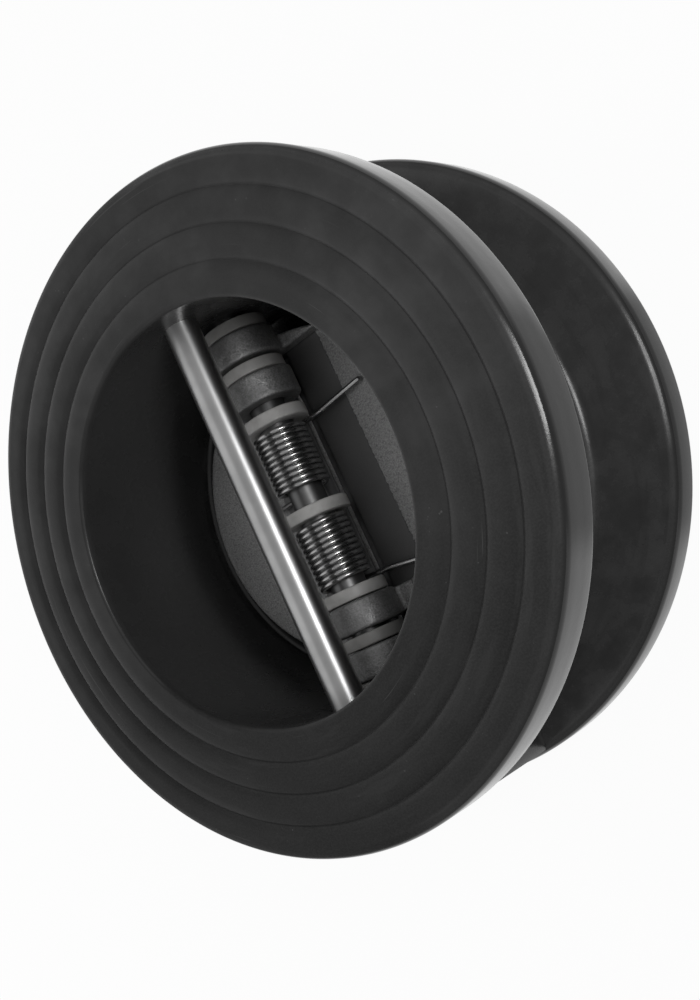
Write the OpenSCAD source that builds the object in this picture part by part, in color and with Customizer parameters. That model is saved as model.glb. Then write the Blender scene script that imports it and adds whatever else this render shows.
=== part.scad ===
// Dual-plate wafer check valve, rubber-lined body.
// Flow runs up the Z axis: inlet face at z = 0, outlet face at the top.
// The hinge pin and the stop pin lie along Y, one above the other.
// Each half-disc plate turns on the hinge pin; two torsion springs close both.

/* [Body] */
// Bore above the seat, where the plates swing
bore_diameter = 99.2; // [80:0.2:180]
// Width of the sealing faces, from the bore to the rim
flange_width = 31.4; // [26:0.1:50]
// Full thickness of the outlet flange
outlet_flange = 13.4; // [10:0.2:20]
// Full thickness of the inlet flange
inlet_flange = 10; // [8:0.2:14]
// Distance from the stop pin axis to the outlet face
outlet_room = 13.5; // [8:0.5:60]
// Wall between the bore and the waist
wall_thickness = 11.4; // [9:0.2:16]
// Rounding of the flange edges
edge_round = 2.4; // [1:0.1:3.6]
// Rounding at the foot of the waist
waist_round = 3; // [1:0.5:6]
// Rounding of the bore edge
bore_round = 0.8; // [0.4:0.1:2]
// Thickness of the rubber over the iron
rubber_cover = 2.5; // [1.5:0.1:3.4]

/* [Bosses] */
// Wall beside the plug bores in the two bosses
boss_wall = 9.1; // [6:0.1:16]
// Step from the flange rim in to the boss
boss_step = 0.7; // [0.4:0.1:4]
// Rounding of the long edges of a boss
boss_round = 4; // [3.5:0.5:6]

/* [Sealing faces] */
// Distance from the bore to the first groove
groove_start = 7.7; // [5:0.1:12]
// Number of grooves in a sealing face
groove_count = 3; // [1:1:3]
// Step from one groove to the next
groove_step = 7.65; // [4:0.05:8]
// Depth of the sealing grooves
groove_depth = 0.6; // [0.2:0.1:1.5]

/* [Seat] */
// Width of the ledge between the bore and the seat opening
seat_ledge = 11.1; // [9.5:0.1:20]
// Height of the seat above the inlet face
seat_height = 15.5; // [12:0.5:30]
// Width of the bar across the seat
seat_bar = 9; // [6:0.5:14]
// Height of the underside of the bar
bar_start = 2; // [1:0.5:5]
// Rubber over the sides of the bar
bar_cover = 2; // [1:0.1:2.6]

/* [Pins] */
// Diameter of the hinge pin
hinge_pin_diameter = 9; // [6:0.5:12]
// Diameter of the stop pin
stop_pin_diameter = 8.5; // [5:0.5:12]
// Length of each pin end that the body holds
pin_grip = 11.4; // [8:0.2:14]
// Radial clearance of a pin in its body bore
pin_clearance = 0.03; // [0.01:0.01:0.1]

/* [Plates] */
// Gap between the closed plates and the bore
plate_room = 7.1; // [6:0.1:8]
// Full thickness of a plate
plate_thickness = 6.4; // [5:0.2:12]
// Depth of the relief under the springs
relief_depth = 3; // [1:0.1:3.6]
// Distance from the valve axis to the relief edge
relief_edge = 4.4; // [3:0.1:6]
// Half of the gap between the straight edges
plate_half_gap = 0.6; // [0.3:0.1:2]
// Gap left between plate and seat at rest
seat_gap = 0.3; // [0.2:0.05:0.6]
// Largest opening angle of each plate
open_angle = 82; // [74:1:86]
// Edge break of the plates and lugs
casting_edge = 0.6; // [0.3:0.1:1]

/* [Lugs] */
// Wall of a plate lug around the hinge pin
lug_wall = 5; // [4:0.1:7]
// Gap between a lug and the other plate
lug_gap = 0.8; // [0.6:0.1:2]
// Running clearance of a lug on the hinge pin
lug_clearance = 0.08; // [0.02:0.01:0.1]
// Length of a lug along the pin
lug_length = 7.2; // [5:0.1:9]
// Height of the arm top below the hinge axis
arm_drop = 6; // [5:0.5:7]
// Length of the outer arms, from the valve axis
outer_arm_reach = 24; // [20:1:28]
// Length of the inner arms, from the valve axis
inner_arm_reach = 24; // [20:1:28]
// Step from the face of a lug to the side of its arm
arm_inset = 0.5; // [0:0.1:1.5]
// Overhang of the arms past the plate edge
arm_overhang = 0.8; // [0:0.1:2]
// Rounding of the arm tips and stop pads
pad_round = 4; // [2:0.5:4]

/* [Hinge stack] */
// Distance from the lug faces to the spot faces, less a washer
stack_play = 1.6; // [1.5:0.1:3]
// Sliding of the hinge stack toward the lower end
stack_drop = 0.8; // [0:0.1:1.2]
// Depth of the spot faces in the bore
spotface_depth = 0.5; // [0.3:0.1:2]
// Free play beside a washer between two lugs
lug_play = 1.1; // [0.6:0.1:3]
// Width of the white washers, from the pin out
washer_width = 4.2; // [3:0.1:4.8]
// Thickness of the white washers
washer_thickness = 3.1; // [1:0.1:4]
// Clearance of a washer on the hinge pin
washer_clearance = 0.1; // [0.05:0.01:0.1]
// Gap left between a washer and what it lies against
washer_seat = 0.3; // [0.1:0.05:0.3]

/* [Springs] */
// Thickness of the spring wire
wire_diameter = 1.4; // [0.8:0.1:2]
// Gap between the hinge pin and the inside of the coils
coil_clearance = 1.05; // [0.5:0.05:1.5]
// Gap between neighbouring turns of a closed coil
turn_gap = 0.04; // [0.02:0.01:0.3]
// Free room above the upper spring
upper_slack = 2.8; // [0.5:0.1:4]
// Free room between the two springs
middle_slack = 4.6; // [0.5:0.1:6]
// Free room below the lower spring
lower_slack = 0.5; // [0.3:0.1:3]
// Stretch of the lower coil toward its right leg
lower_stretch = 0.9; // [0:0.1:2]
// Distance from the valve axis to the tip of a leg
leg_reach = 21.5; // [16:0.5:28]
// Distance from the valve axis to the bend in the right legs
leg_bend = 6.5; // [6:0.5:12]
// Sideways step of the right legs at the bend
leg_step = 0.2; // [0:0.05:0.25]
// Sideways lean of the right legs from the bend to the tip
leg_lean = 2.1; // [0:0.1:2.5]
// Gap left between a leg and the plate at rest
leg_gap = 0.3; // [0.2:0.05:0.5]

/* [Plugs] */
// Step from the wider pin out to the plug thread
shank_step = 1; // [0.5:0.1:2]
// Width of the collar of a screw plug
collar_width = 2; // [1.4:0.1:3]
// Thickness of the collar of a screw plug
collar_thickness = 3; // [2:0.1:4]
// Gap around a collar in its counterbore
collar_clearance = 0.4; // [0.2:0.1:1]
// Depth of a plug below the boss face
plug_recess = 1.8; // [0.5:0.1:3]
// Iron left between the collars of the two plugs
plug_spacing = 3; // [1.5:0.1:8]
// Width across the flats of the plug socket
socket_width = 6; // [4:0.5:7]
// Depth of the plug socket
socket_depth = 6; // [3:0.5:8]
// Thickness of the sealing ring under a collar
ring_thickness = 1.5; // [1:0.1:2.5]

/* [Hidden] */
$fn = 96;
eps = 0.01;
// radii of the body, from the bore outward
bore_r = bore_diameter / 2;
seat_r = bore_r - seat_ledge;
body_r = bore_r + flange_width;
waist_r = bore_r + wall_thickness;
boss_r = body_r - boss_step;
groove_first = bore_r + groove_start;
// pins and plugs
hinge_r = hinge_pin_diameter / 2;
stop_r = stop_pin_diameter / 2;
pin_end = bore_r + pin_grip;
pin_length = 2 * pin_end;
shank_r = max(hinge_r, stop_r) + shank_step;
collar_r = shank_r + collar_width;
counterbore_r = collar_r + collar_clearance;
boss_half = counterbore_r + boss_wall;
plug_seat = boss_r - plug_recess - collar_thickness - ring_thickness;
// heights, from the inlet face up
plate_r = bore_r - plate_room;
lug_r = hinge_r + lug_wall;
plate_bottom = seat_height + seat_gap;
plate_top = plate_bottom + plate_thickness;
relief_floor = plate_top - relief_depth;
hinge_height = plate_top + lug_gap + lug_r;
arm_top = hinge_height - arm_drop;
stop_rise = 2 * collar_r + plug_spacing;
stop_height = hinge_height + stop_rise;
face_to_face = stop_height + outlet_room;
// the hinge stack, from the spot faces in toward the middle
spotface_end = bore_r + spotface_depth;
washer_r = hinge_r + washer_width;
spotface_r = washer_r + 0.6;
outer_lug_start = spotface_end - washer_thickness - stack_play - lug_length;
inner_lug_start = outer_lug_start - lug_play - washer_thickness - lug_length;
// the stop pad on a plate meets the stop pin at the open angle
pad_x = stop_rise * sin(open_angle);
pad_top = hinge_height + stop_rise * cos(open_angle) - stop_r - 0.05;
// the springs fill what the washers and the free rooms leave between the inner lugs
wire_r = wire_diameter / 2;
coil_r = hinge_r + coil_clearance + wire_r;
coil_length = (2 * inner_lug_start - 3 * (washer_thickness + washer_seat)
  - upper_slack - middle_slack - lower_slack - lower_stretch) / 2;
coil_rise = coil_length - wire_diameter;
coil_turns = floor(coil_rise / (wire_diameter + turn_gap));
// washers and springs, each set on the one below it
lower_body_at = -outer_lug_start - lug_length - stack_drop - washer_seat - washer_thickness;
lower_lug_at = -outer_lug_start - stack_drop + washer_seat;
lower_spring_at = -inner_lug_start - stack_drop + washer_seat;
lower_coil_at = lower_spring_at + washer_thickness + lower_slack;
centre_at = lower_coil_at + lower_stretch + coil_length + washer_seat;
upper_coil_at = centre_at + washer_thickness + middle_slack;
upper_spring_at = upper_coil_at + coil_length + washer_seat;
upper_lug_at = inner_lug_start + lug_length - stack_drop + washer_seat;
upper_body_at = outer_lug_start + lug_length - stack_drop + washer_seat;

// points of a quarter round about (cx, cz), from angle a0 to a1
function arc(cx, cz, r, a0, a1, n = 6) =
  [for (i = [0 : n]) let (a = a0 + (a1 - a0) * i / n) [cx + r * cos(a), cz + r * sin(a)]];

// depth of the sealing face below its highest circle, at radius r
function groove_low(r) =
  let (t = (r - groove_first) / groove_step, u = abs(t - round(t)))
  r > groove_first + (groove_count - 0.4) * groove_step ? 0 : groove_depth * pow(1 - min(1, 2 * u), 2);

face_radii = [for (r = [bore_r + 2 * bore_round : 0.85 : body_r - edge_round - 0.6]) r];

// section of the whole spool; the inlet side keeps the smaller seat opening
module spool_section() {
  low_round = 1.2;
  polygon(concat(
    arc(seat_r + low_round, low_round, low_round, 180, 270, 4),
    [for (r = [groove_first - groove_step / 2 : 0.85 : body_r - edge_round - 0.6]) [r, groove_low(r)]],
    arc(body_r - edge_round, edge_round, edge_round, -90, 0),
    arc(body_r - edge_round, inlet_flange - edge_round, edge_round, 0, 90),
    arc(waist_r + waist_round, inlet_flange + waist_round, waist_round, 270, 180, 4),
    arc(waist_r + waist_round, face_to_face - outlet_flange - waist_round, waist_round, 180, 90, 4),
    arc(body_r - edge_round, face_to_face - outlet_flange + edge_round, edge_round, -90, 0),
    arc(body_r - edge_round, face_to_face - edge_round, edge_round, 0, 90),
    [for (i = [len(face_radii) - 1 : -1 : 0]) [face_radii[i], face_to_face - groove_low(face_radii[i])]],
    arc(bore_r + bore_round, face_to_face - bore_round, bore_round, 90, 180, 4),
    arc(bore_r - 2, seat_height + 2 - 0.01, 2, 0, -90, 4),
    arc(seat_r + 0.8, seat_height - 0.81, 0.8, 90, 180, 3)
  ));
}

// section of the iron spool inside the rubber
module core_section() {
  c = rubber_cover;
  polygon([
    [seat_r + c, c + 0.8],
    [body_r - c - 1, c + 0.8],
    [body_r - c, c + 1.8],
    [body_r - c, inlet_flange - c],
    [waist_r - c, inlet_flange - c],
    [waist_r - c, face_to_face - outlet_flange + c],
    [body_r - c, face_to_face - outlet_flange + c],
    [body_r - c, face_to_face - c - 1.8],
    [body_r - c - 1, face_to_face - c - 0.8],
    [bore_r + c, face_to_face - c - 0.8],
    [bore_r + c, seat_height - c],
    [seat_r + c, seat_height - c]
  ]);
}

// block on both ends of Y, trimmed to a round of radius r
module boss_pair(r, half, z0, z1, root, corner) {
  foot = sqrt(root * root - (half + waist_round) * (half + waist_round));
  side = concat(
    [[0, root - 4], [half + waist_round, foot]],
    arc(half + waist_round, foot + waist_round, waist_round, 270, 180, 4),
    arc(half - corner, r - corner, corner, 0, 90, 5),
    [[0, r]]);
  intersection() {
    translate([0, 0, z0]) cylinder(r = r, h = z1 - z0);
    for (turn = [0, 180])
      rotate([0, 0, turn]) translate([0, 0, z0])
        linear_extrude(height = z1 - z0)
          polygon(concat(side, [for (i = [len(side) - 2 : -1 : 1]) [-side[i][0], side[i][1]]]));
  }
}

// bar across the seat opening, with a rounded nose toward the inlet
module seat_bar_solid(width, low, high, reach) {
  translate([0, reach, 0]) rotate([90, 0, 0])
    linear_extrude(height = 2 * reach)
      polygon(concat(
        [[-width / 2, high], [-width / 2, low + width / 2]],
        arc(0, low + width / 2, width / 2, 180, 360, 10),
        [[width / 2, high]]
      ));
}

// straight bore along Y, from a to b
module bore_y(r, z, a, b) {
  translate([0, a, z]) rotate([-90, 0, 0]) cylinder(r = r, h = b - a);
}

// the holes for one pin with its plugs
module pin_holes(r, z) {
  bore_y(r + pin_clearance, z, -pin_end - 0.5, pin_end + 0.5);
  for (s = [0, 1]) mirror([0, s, 0]) {
    bore_y(shank_r + 0.02, z, pin_end + 0.4, plug_seat + 1);
    bore_y(counterbore_r, z, plug_seat, body_r + 2);
  }
}

// all holes that pass through rubber and iron
module all_holes() {
  pin_holes(hinge_r, hinge_height);
  pin_holes(stop_r, stop_height);
  bore_y(spotface_r, hinge_height, -spotface_end, spotface_end);
}

module iron_core_solid() {
  union() {
    rotate_extrude() core_section();
    boss_pair(boss_r - rubber_cover, boss_half - rubber_cover,
      inlet_flange - rubber_cover - eps, face_to_face - outlet_flange + rubber_cover + eps,
      waist_r - rubber_cover, boss_round - rubber_cover);
    seat_bar_solid(seat_bar - 2 * bar_cover, bar_start + bar_cover, seat_height - rubber_cover, seat_r + rubber_cover + 1.2);
  }
}

module rubber_body() {
  color("#2b2c2d")
  difference() {
    union() {
      rotate_extrude() spool_section();
      boss_pair(boss_r, boss_half, inlet_flange - 1, face_to_face - outlet_flange + 1, waist_r, boss_round);
      seat_bar_solid(seat_bar, bar_start, seat_height, seat_r + 1);
    }
    iron_core_solid();
    all_holes();
  }
}

module iron_core() {
  color("#5a5d60")
  difference() {
    iron_core_solid();
    all_holes();
  }
}

// round lug of the +X plate, from y0 up, with broken edges
module lug(y0) {
  translate([0, y0, hinge_height]) rotate([-90, 0, 0])
    rotate_extrude()
      polygon([
        [0, 0], [lug_r - casting_edge, 0], [lug_r, casting_edge],
        [lug_r, lug_length - casting_edge], [lug_r - casting_edge, lug_length], [0, lug_length]
      ]);
}

// arm that carries a lug, flat on top, with a rounded tip at the given reach
module arm(y0, reach) {
  tip = arm_top - plate_top;
  translate([0, y0 + lug_length - arm_inset, 0]) rotate([90, 0, 0])
    linear_extrude(height = lug_length - 2 * arm_inset)
      polygon(concat(
        [[plate_half_gap, plate_bottom + 1],
        [plate_half_gap, hinge_height - lug_r * 0.6],
        [lug_r * 0.8, hinge_height - lug_r * 0.6],
        [lug_r * 0.8 + 0.5, arm_top + 0.1],
        [lug_r * 0.8 + 1.2, arm_top]],
        arc(reach - pad_round, arm_top - pad_round, pad_round, 90, 0),
        [[reach, plate_bottom + 1]]
      ));
}

// pad on an arm that meets the stop pin at the open angle
module stop_pad(y0) {
  translate([pad_x, y0 + lug_length - arm_inset, 0]) rotate([90, 0, 0])
    linear_extrude(height = lug_length - 2 * arm_inset)
      polygon(concat(
        [[pad_round, plate_top - 0.5]],
        arc(0, pad_top - pad_round, pad_round, 0, 180, 12),
        [[-pad_round, plate_top - 0.5]]
      ));
}

// the +X plate; the other plate is the same casting turned half round
module plate_casting() {
  outer = outer_lug_start;
  inner = -inner_lug_start - lug_length;
  difference() {
    union() {
      intersection() {
        translate([0, 0, plate_bottom]) rotate_extrude()
          polygon([
            [0, 0], [plate_r - casting_edge, 0], [plate_r, casting_edge],
            [plate_r, plate_thickness - casting_edge], [plate_r - casting_edge, plate_thickness],
            [0, plate_thickness]
          ]);
        translate([plate_half_gap, -plate_r - 1, plate_bottom - 1])
          cube([plate_r + 2, 2 * plate_r + 2, plate_thickness + 2]);
      }
      intersection() {
        union() {
          arm(outer, outer_arm_reach);
          arm(inner, inner_arm_reach);
          stop_pad(inner);
        }
        translate([0, 0, plate_bottom + 0.6]) cylinder(r = plate_r + arm_overhang, h = hinge_height);
      }
      lug(outer);
      lug(inner);
    }
    // relief under the springs, between and beyond the lugs
    translate([-1, -inner_lug_start, relief_floor])
      cube([relief_edge + 1, inner_lug_start + outer_lug_start, hinge_height]);
    translate([-1, -plate_r - 2, relief_floor])
      cube([relief_edge + 1, plate_r + 2 + inner, hinge_height]);
    bore_y(hinge_r + lug_clearance, hinge_height, -body_r, body_r);
  }
}

module right_plate() {
  color("#8b8d8f")
  translate([0, -stack_drop, 0]) plate_casting();
}

module left_plate() {
  color("#8b8d8f")
  translate([0, -stack_drop, 0]) rotate([0, 0, 180]) plate_casting();
}

module pin(r, z) {
  chamfer = 0.8;
  translate([0, -pin_end, z]) rotate([-90, 0, 0])
    rotate_extrude()
      polygon([
        [0, 0], [r - chamfer, 0], [r, chamfer],
        [r, pin_length - chamfer], [r - chamfer, pin_length], [0, pin_length]
      ]);
}

module hinge_pin() {
  color("#b9bcbf")
  pin(hinge_r, hinge_height);
}

module stop_pin() {
  color("#c4c7ca")
  pin(stop_r, stop_height);
}

module washer(y0) {
  c = 0.3;
  r = washer_r;
  hole = hinge_r + washer_clearance;
  translate([0, y0, hinge_height]) rotate([-90, 0, 0])
    rotate_extrude()
      polygon([
        [hole, 0], [r - c, 0], [r, c],
        [r, washer_thickness - c], [r - c, washer_thickness], [hole, washer_thickness]
      ]);
}

module upper_body_washer() {
  color("#e8e6df")
  washer(upper_body_at);
}

module upper_lug_washer() {
  color("#e8e6df")
  washer(upper_lug_at);
}

module upper_spring_washer() {
  color("#e8e6df")
  washer(upper_spring_at);
}

module centre_washer() {
  color("#e8e6df")
  washer(centre_at);
}

module lower_spring_washer() {
  color("#e8e6df")
  washer(lower_spring_at);
}

module lower_lug_washer() {
  color("#e8e6df")
  washer(lower_lug_at);
}

module lower_body_washer() {
  color("#e8e6df")
  washer(lower_body_at);
}

// centre line of a torsion spring, from the left leg tip to the right leg tip
// way is +1 for the upper spring and -1 for the lower one, where low is the lowest wire centre
leg_rest = plate_top + leg_gap + wire_r;
leg_fall = hinge_height - coil_r - leg_rest;
leg_dip = atan(leg_fall / leg_reach);
segments = 18;
turn_steps = coil_turns * segments;
sweep = 360 * coil_turns - 2 * leg_dip;
// share of the winding in the last half turn
last_half = (180 - leg_dip) / sweep;
function coil_angle(t) = -90 + leg_dip + t * sweep;
function coil_y(t, low, way) = way > 0 ?
  low + coil_rise * t :
  low + coil_rise * (1 - t) + lower_stretch * (1 - max(0, (t - 1 + last_half) / last_half));
function coil_point(t, low, way) =
  let (a = coil_angle(t))
  [coil_r * cos(a), coil_y(t, low, way), hinge_height + coil_r * sin(a)];
function leg_tip(side, y) = [side * leg_reach, y, leg_rest];
function spring_path(low, way) =
  let (start = coil_point(1, low, way), share = (leg_bend - start[0]) / (leg_reach - start[0]),
    bend = start + share * (leg_tip(1, start[1]) - start) + [0, way * leg_step, 0])
  concat(
    [leg_tip(-1, coil_y(0, low, way))],
    [for (i = [0 : turn_steps]) coil_point(i / turn_steps, low, way)],
    [bend, leg_tip(1, bend[1] + way * leg_lean)]);

function unit(v) = v / norm(v);

// wire of eight sides swept along a path
module wire(path) {
  n = len(path);
  m = 8;
  ref = [0, 1, 0];
  dirs = [for (i = [0 : n - 1])
    i == 0 ? unit(path[1] - path[0]) :
    i == n - 1 ? unit(path[n - 1] - path[n - 2]) :
    unit(unit(path[i + 1] - path[i]) + unit(path[i] - path[i - 1]))];
  rings = [for (i = [0 : n - 1])
    let (s = unit(cross(dirs[i], ref)), u = cross(s, dirs[i]))
    for (k = [0 : m - 1])
      path[i] + wire_r * (cos(360 * k / m) * s + sin(360 * k / m) * u)];
  sides = [for (i = [0 : n - 2], k = [0 : m - 1])
    [i * m + k, i * m + (k + 1) % m, (i + 1) * m + (k + 1) % m, (i + 1) * m + k]];
  ends = [[for (k = [m - 1 : -1 : 0]) k], [for (k = [0 : m - 1]) (n - 1) * m + k]];
  polyhedron(points = rings, faces = concat(sides, ends));
}

module upper_spring() {
  color("#c9cccf")
  wire(spring_path(upper_coil_at + wire_r, 1));
}

module lower_spring() {
  color("#c9cccf")
  wire(spring_path(lower_coil_at + wire_r, -1));
}

// screw plug on the +Y side; the lower ones are mirrored
module plug(z) {
  face = plug_seat + ring_thickness;
  shank = face - pin_end - 0.9;
  translate([0, face + collar_thickness, z]) rotate([90, 0, 0])
    difference() {
      rotate_extrude()
        polygon([
          [0, 0], [collar_r - 0.5, 0], [collar_r, 0.5], [collar_r, collar_thickness],
          [shank_r, collar_thickness], [shank_r, collar_thickness + shank - 1],
          [shank_r - 1, collar_thickness + shank], [0, collar_thickness + shank]
        ]);
      translate([0, 0, -1]) cylinder(d = socket_width / cos(30), h = socket_depth + 1, $fn = 6);
    }
}

module seal(z) {
  translate([0, plug_seat, z]) rotate([-90, 0, 0])
    difference() {
      cylinder(r = collar_r, h = ring_thickness);
      translate([0, 0, -1]) cylinder(r = shank_r + 0.1, h = ring_thickness + 2);
    }
}

module upper_hinge_plug() {
  color("#7d8083")
  plug(hinge_height);
}

module lower_hinge_plug() {
  color("#7d8083")
  mirror([0, 1, 0]) plug(hinge_height);
}

module upper_stop_plug() {
  color("#7d8083")
  plug(stop_height);
}

module lower_stop_plug() {
  color("#7d8083")
  mirror([0, 1, 0]) plug(stop_height);
}

module upper_hinge_plug_seal() {
  color("#b87333")
  seal(hinge_height);
}

module lower_hinge_plug_seal() {
  color("#b87333")
  mirror([0, 1, 0]) seal(hinge_height);
}

module upper_stop_plug_seal() {
  color("#b87333")
  seal(stop_height);
}

module lower_stop_plug_seal() {
  color("#b87333")
  mirror([0, 1, 0]) seal(stop_height);
}

rubber_body();
iron_core();
left_plate();
right_plate();
hinge_pin();
stop_pin();
upper_spring();
lower_spring();
upper_body_washer();
upper_lug_washer();
upper_spring_washer();
centre_washer();
lower_spring_washer();
lower_lug_washer();
lower_body_washer();
upper_hinge_plug();
lower_hinge_plug();
upper_stop_plug();
lower_stop_plug();
upper_hinge_plug_seal();
lower_hinge_plug_seal();
upper_stop_plug_seal();
lower_stop_plug_seal();
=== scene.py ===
# %% [markdown]
# # A dual-plate check valve, dressed for the photograph
#
# The valve is a short rubber-covered spool that two pipe flanges clamp between them.
# Two half-disc plates hang on one pin inside the bore, and two torsion springs press
# them on their seat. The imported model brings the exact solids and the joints, and
# this script gives every visible piece a finished surface and the finish of the real
# one. All shapes are worked out in millimetres and scaled once, when a mesh is made.

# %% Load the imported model
import math

import bmesh
import bpy
import numpy as np
from mathutils import Matrix, Vector


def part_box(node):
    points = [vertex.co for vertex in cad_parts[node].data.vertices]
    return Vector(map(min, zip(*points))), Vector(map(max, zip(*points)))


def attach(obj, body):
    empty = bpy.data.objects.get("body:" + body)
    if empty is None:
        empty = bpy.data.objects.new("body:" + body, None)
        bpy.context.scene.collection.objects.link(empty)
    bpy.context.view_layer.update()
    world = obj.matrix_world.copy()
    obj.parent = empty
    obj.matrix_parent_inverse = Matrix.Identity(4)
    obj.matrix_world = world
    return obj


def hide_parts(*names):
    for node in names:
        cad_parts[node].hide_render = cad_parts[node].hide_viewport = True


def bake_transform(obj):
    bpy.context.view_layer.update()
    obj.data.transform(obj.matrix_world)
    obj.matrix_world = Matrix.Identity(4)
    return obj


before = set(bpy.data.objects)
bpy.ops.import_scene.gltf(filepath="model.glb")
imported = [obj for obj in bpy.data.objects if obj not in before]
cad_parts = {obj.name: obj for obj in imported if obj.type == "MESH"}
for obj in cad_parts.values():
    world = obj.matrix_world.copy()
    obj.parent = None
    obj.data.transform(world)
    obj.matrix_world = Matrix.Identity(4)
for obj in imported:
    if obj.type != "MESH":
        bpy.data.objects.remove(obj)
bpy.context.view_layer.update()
MM = 0.001


def span(node):
    """Lowest and highest corner of a solid at rest, in millimetres."""
    low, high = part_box(node)
    return np.array(low) / MM, np.array(high) / MM


# %% [markdown]
# ## Sizes that the solids give
#
# A dressed piece has to sit exactly where its solid sits, because the checks and the
# motion use the solid. So pins, washers and springs take their place from the boxes
# of their solids, and only what a box can't tell, such as the bore, is written here.

# %% Main sizes
BODY_R, _, FACE = span("rubber_body")[1]
BORE_R = 49.6
SEAT_R = 38.5
SEAT_Z = 15.5
WAIST_R = 61.0
LOW_FLANGE = 10.0
TOP_FLANGE = FACE - 13.4
EDGE = 2.4
hinge_low, hinge_high = span("hinge_pin")
HINGE_Z = (hinge_low[2] + hinge_high[2]) / 2
PIN_R = (hinge_high[2] - hinge_low[2]) / 2
stop_low, stop_high = span("stop_pin")
STOP_Z = (stop_low[2] + stop_high[2]) / 2
print("body radius", BODY_R, "face", FACE, "hinge", HINGE_Z, "stop", STOP_Z)


# %% [markdown]
# ## Surfaces from grids
#
# A mesh can be pushed about by hand or computed. Every shape here is a rule: a grid
# of points that two parameters number. One helper turns such grids into a mesh, so
# the rest of the script only has to say where the points are. Rows that shrink to
# one point close a tube or a disc, and the doubles that they leave are merged.

# %% Mesh helpers
SAME_POINT, NO_LENGTH = 2e-6, 1e-6  # metres


def quads_of(rows, columns, wrap_u, wrap_v, first):
    """Indices of the cells of a grid: each cell joins (u, v) to its next row and column."""
    index = np.arange(rows * columns).reshape(rows, columns) + first
    if wrap_u:
        index = np.concatenate([index, index[:1]], axis=0)
    if wrap_v:
        index = np.concatenate([index, index[:, :1]], axis=1)
    cells = [index[:-1, :-1], index[1:, :-1], index[1:, 1:], index[:-1, 1:]]
    return np.stack(cells, axis=-1).reshape(-1, 4)


SHARP = 38.0  # degrees, the steepest edge that still counts as round


def skin(name, grids):
    """One object from several grids of points (rows, columns, 3), each with its two wrap flags."""
    points, faces, first = [], [], 0
    for grid, wrap_u, wrap_v in grids:
        rows, columns = grid.shape[:2]
        faces.append(quads_of(rows, columns, wrap_u, wrap_v, first))
        points.append(grid.reshape(-1, 3))
        first += rows * columns
    mesh = bpy.data.meshes.new(name)
    mesh.from_pydata((np.concatenate(points) * MM).tolist(), [], np.concatenate(faces).tolist())
    tidy_mesh(mesh)
    piece = bpy.data.objects.new(name, mesh)
    bpy.context.scene.collection.objects.link(piece)
    return piece


def tidy_mesh(mesh):
    """Merge doubles, drop faces without area, point all faces outward and shade them smooth."""
    work = bmesh.new()
    work.from_mesh(mesh)
    bmesh.ops.remove_doubles(work, verts=work.verts, dist=SAME_POINT)
    bmesh.ops.dissolve_degenerate(work, edges=work.edges, dist=NO_LENGTH)
    bmesh.ops.recalc_face_normals(work, faces=work.faces)
    work.to_mesh(mesh)
    work.free()
    smooth(mesh)


def smooth(mesh, sharp=SHARP):
    """Smooth shading that stops at edges steeper than the given angle."""
    mesh.polygons.foreach_set("use_smooth", np.ones(len(mesh.polygons), bool))
    mesh.set_sharp_from_angle(angle=math.radians(sharp))
    mesh.update()


def apply_modifiers(piece, sharp=SHARP):
    """Keep the shape that the modifiers give as the piece's own mesh, so that none is left on it."""
    ready = piece.evaluated_get(bpy.context.evaluated_depsgraph_get())
    mesh = bpy.data.meshes.new_from_object(ready)
    piece.modifiers.clear()
    old, piece.data = piece.data, mesh
    bpy.data.meshes.remove(old)
    smooth(mesh, sharp)


# %% [markdown]
# Real edges are never knife sharp, and it is the small round on an edge that catches
# the light. So a section is written as corners with a radius, and a helper swaps each
# corner for an arc that touches both of its sides.

# %% Rounded sections
def rounded(corners, steps=6):
    """Closed outline through corners (a, b, radius); an arc tangent to both sides replaces a corner."""
    corners = [np.array(c, float) for c in corners]
    out = []
    for i, here in enumerate(corners):
        before = corners[i - 1][:2] - here[:2]
        after = corners[(i + 1) % len(corners)][:2] - here[:2]
        before, after = before / np.linalg.norm(before), after / np.linalg.norm(after)
        if here[2] <= 0:
            out.append(here[None, :2])
            continue
        half = math.acos(np.clip(before @ after, -1, 1)) / 2
        middle = (before + after) / np.linalg.norm(before + after)
        centre = here[:2] + middle * here[2] / math.sin(half)
        start = here[:2] + before * here[2] / math.tan(half) - centre
        end = here[:2] + after * here[2] / math.tan(half) - centre
        turn = math.atan2(start[0] * end[1] - start[1] * end[0], start @ end)
        angle = np.linspace(0, turn, steps + 1)
        out.append(centre + np.stack([
            start[0] * np.cos(angle) - start[1] * np.sin(angle),
            start[0] * np.sin(angle) + start[1] * np.cos(angle)], axis=1))
    return np.concatenate(out)


def subdivided(outline, step):
    """The same outline with its long sides cut into pieces no longer than step(a, b)."""
    following = np.roll(outline, -1, axis=0)
    parts = []
    for a, b in zip(outline, following):
        count = max(1, int(math.ceil(np.linalg.norm(b - a) / step(a, b))))
        parts.append(a + (b - a) * np.arange(count)[:, None] / count)
    return np.concatenate(parts)


def turned(section, columns=128, along="Y", centre=(0.0, 0.0)):
    """Grid of a section (radius, height) spun about an axis along Y or Z through centre."""
    angle = np.linspace(0, 2 * math.pi, columns, endpoint=False)
    radius, height = section[:, :1], section[:, 1:] + 0 * angle
    a, b = radius * np.cos(angle) + centre[0], radius * np.sin(angle) + centre[1]
    return np.stack([a, height, b] if along == "Y" else [a, b, height], axis=-1)


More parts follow.
